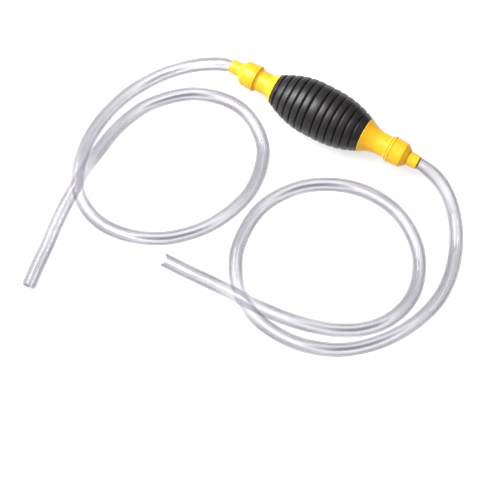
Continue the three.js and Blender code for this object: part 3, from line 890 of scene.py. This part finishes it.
def thread_points(start, stop):
    """Ribs round the neck that stand for its thread."""
    root = NECK_RADIUS - THREAD_DEPTH
    points = []
    along = start + RIB_MARGIN
    while along + RIB_ROOM < stop:
        points += [
            (along, root), (along + RIB_STEP, NECK_RADIUS),
            (along + 2 * RIB_STEP, NECK_RADIUS), (along + 3 * RIB_STEP, root),
        ]
        along += RIB_SPACING
    return points


def nut_outline():
    """Outline of a union nut, as distances outward from the end of its housing."""
    bore = NECK_RADIUS + FIT
    mouth = BOSS_RADIUS + FIT
    shelf = NECK_LENGTH + FIT + GASKET_THICKNESS + FIT + FLANGE_THICKNESS + FIT
    return rounded([
        (0, bore), (0, BEAD_RADIUS, BEAD_BACK_ROUNDING),
        (BEAD_WIDTH - SEAM_BACK, BEAD_RADIUS, BEAD_FRONT_ROUNDING),
        (BEAD_WIDTH, NUT_RADIUS - SEAM_DEPTH), (BEAD_WIDTH + SEAM_FRONT, NUT_RADIUS, SEAM_ROUNDING),
        (NUT_BODY_LENGTH, NUT_FRONT_RADIUS, NUT_FRONT_ROUNDING),
        (NUT_LENGTH, NUT_NOSE_RADIUS, EDGE), (NUT_LENGTH, mouth, FINE_EDGE),
        (shelf, mouth), (shelf, bore),
    ])


def tailpiece_outline():
    """Outline of a tailpiece, as distances outward from the end of its housing."""
    flange_start = NECK_LENGTH + FIT + GASKET_THICKNESS + FIT
    flange_end = flange_start + FLANGE_THICKNESS
    socket_face = UNION_LENGTH - SOCKET_DEPTH
    socket = STUB_MOUTH_RADIUS - STUB_WALL
    return rounded([
        (flange_start, TAIL_BORE_RADIUS), (flange_start, FLANGE_RADIUS, SMALL_EDGE),
        (flange_end, FLANGE_RADIUS, SMALL_EDGE), (flange_end, BOSS_RADIUS, SMALL_EDGE),
        (NUT_LENGTH, BOSS_RADIUS, FINE_EDGE),
        (NUT_LENGTH + STUB_STEP, STUB_ROOT_RADIUS, STUB_ROOT_ROUNDING),
        (UNION_LENGTH, STUB_MOUTH_RADIUS, SMALL_EDGE), (UNION_LENGTH, socket, FINE_EDGE),
        (socket_face, socket), (socket_face, TAIL_BORE_RADIUS),
    ])


def gasket_outline():
    start = NECK_LENGTH + FIT
    stop = start + GASKET_THICKNESS
    return rounded([
        (start, GASKET_BORE_RADIUS, FINE_EDGE), (start, FLANGE_RADIUS, FINE_EDGE),
        (stop, FLANGE_RADIUS, FINE_EDGE), (stop, GASKET_BORE_RADIUS, FINE_EDGE),
    ])


def make_unions():
    for end in (INLET, OUTLET):
        name, outward = end["name"], end["outward"]
        nut_x = end["rim_x"] + outward * end["housing_length"]
        for piece, body, slot, outline, x in (
            ("valve_housing", "root", "yellow_plastic", housing_outline(end), end["rim_x"]),
            ("union_nut", f"{name}_nut", "yellow_plastic", nut_outline(), nut_x),
            ("tailpiece", f"{name}_tail", "yellow_plastic", tailpiece_outline(), nut_x),
            ("gasket", f"{name}_tail", "seal_rubber", gasket_outline(), nut_x),
        ):
            made = lathe(f"{name}_{piece}_moulding", slot, outline, x, outward)
            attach(made, body)
            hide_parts(f"{name}_{piece}")


make_unions()

# ---------------------------------------------------------------- valve springs

WIRE_SIDES = 14
STEPS_PER_TURN = 40


def make_spring(end):
    """A coil spring with half closed ends, between the poppet and its cage."""
    name = end["name"]
    low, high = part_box(f"{name}_valve_spring")
    mean_radius = (high.z - low.z) / 2 - WIRE_RADIUS
    run = high.x - low.x - 2 * WIRE_RADIUS
    count = SPRING_TURNS * STEPS_PER_TURN
    share = np.arange(count + 1) / count
    # Half of the rise is even and half eases in and out, which brings the end turns closer
    along = low.x + WIRE_RADIUS + run * (share + eased(share)) / 2
    angle = 2 * math.pi * SPRING_TURNS * share
    across = np.column_stack([np.zeros(count + 1), np.cos(angle), np.sin(angle)])
    middle = np.column_stack([along, np.zeros(count + 1), np.full(count + 1, AXIS_Z)])
    path = middle + mean_radius * across
    beside = np.cross(unit_tangents(path), across)
    vertices = []
    for centre, first, second in zip(path, across, beside):
        for k in range(WIRE_SIDES):
            turn = 2 * math.pi * k / WIRE_SIDES
            spoke = math.cos(turn) * first + math.sin(turn) * second
            vertices.append(tuple(centre + WIRE_RADIUS * spoke))
    first_end = tuple(range(WIRE_SIDES))[::-1]
    last_end = tuple(range(count * WIRE_SIDES, (count + 1) * WIRE_SIDES))
    faces = [first_end, last_end, *tube_faces(count + 1, WIRE_SIDES)]
    made = make_object(f"{name}_valve_spring_coil", vertices, faces, "spring_steel")
    made.data.set_sharp_from_angle(angle=SMOOTH_UP_TO)
    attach(made, "root")
    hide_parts(f"{name}_valve_spring")
    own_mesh(made)


make_spring(INLET)
make_spring(OUTLET)

# ---------------------------------------------------------------- other CAD pieces

for end in (INLET, OUTLET):
    for node, slot in (
        ("valve_seat", "white_plastic"), ("valve_cage", "white_plastic"),
        ("poppet", "white_plastic"), ("poppet_seal", "seal_rubber"),
    ):
        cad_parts[f"{end['name']}_{node}"].data.materials[0] = MATERIALS[slot]

# ---------------------------------------------------------------- floor and light

FLOOR_REACH = 3.0
SKY_BRIGHTEST = (-0.45, -0.15, 0.85)  # the direction
SKY_LOW = (0.10, 0.10, 0.11)
SKY_FULL = 0.80  # how far towards the brightest direction the sky is white
SKY_STRENGTH = 0.85


def make_floor():
    mesh = bpy.data.meshes.new("floor")
    sides = ((-1, -1), (1, -1), (1, 1), (-1, 1))
    corners = [(x * FLOOR_REACH, y * FLOOR_REACH, 0) for x, y in sides]
    mesh.from_pydata(corners, [], [(0, 1, 2, 3)])
    mesh.materials.append(floor_material())
    floor = bpy.data.objects.new("floor", mesh)
    bpy.context.scene.collection.objects.link(floor)


def make_light(name, place, size, power):
    """A round white light that points at the middle of the picture."""
    data = bpy.data.lights.new(name, "AREA")
    data.shape = "DISK"
    data.size = size
    data.energy = power
    light = bpy.data.objects.new(name, data)
    light.location = place
    aim = CAMERA_TARGET - Vector(place)
    light.rotation_euler = aim.to_track_quat("-Z", "Y").to_euler()
    bpy.context.scene.collection.objects.link(light)


def make_world():
    world = bpy.data.worlds.new("studio")
    world.use_nodes = True
    tree = world.node_tree
    background = tree.nodes["Background"]
    place = tree.nodes.new("ShaderNodeTexCoord")
    brightest = tree.nodes.new("ShaderNodeVectorMath")
    brightest.operation = "DOT_PRODUCT"
    brightest.inputs[1].default_value = SKY_BRIGHTEST
    ramp = tree.nodes.new("ShaderNodeValToRGB")
    tree.links.new(place.outputs["Generated"], brightest.inputs[0])
    tree.links.new(brightest.outputs["Value"], ramp.inputs["Fac"])
    tree.links.new(ramp.outputs["Color"], background.inputs["Color"])
    low, high = ramp.color_ramp.elements
    low.position, low.color = 0.0, (*SKY_LOW, 1)
    high.position, high.color = SKY_FULL, (1, 1, 1, 1)
    background.inputs["Strength"].default_value = SKY_STRENGTH
    bpy.context.scene.world = world


make_floor()
make_world()
make_light("softbox", place=(-0.80, -0.32, 1.38), size=1.25, power=50.0)
make_light("side", place=(-1.30, -0.60, 0.70), size=0.80, power=9.0)
bpy.context.scene.view_settings.view_transform = "Standard"
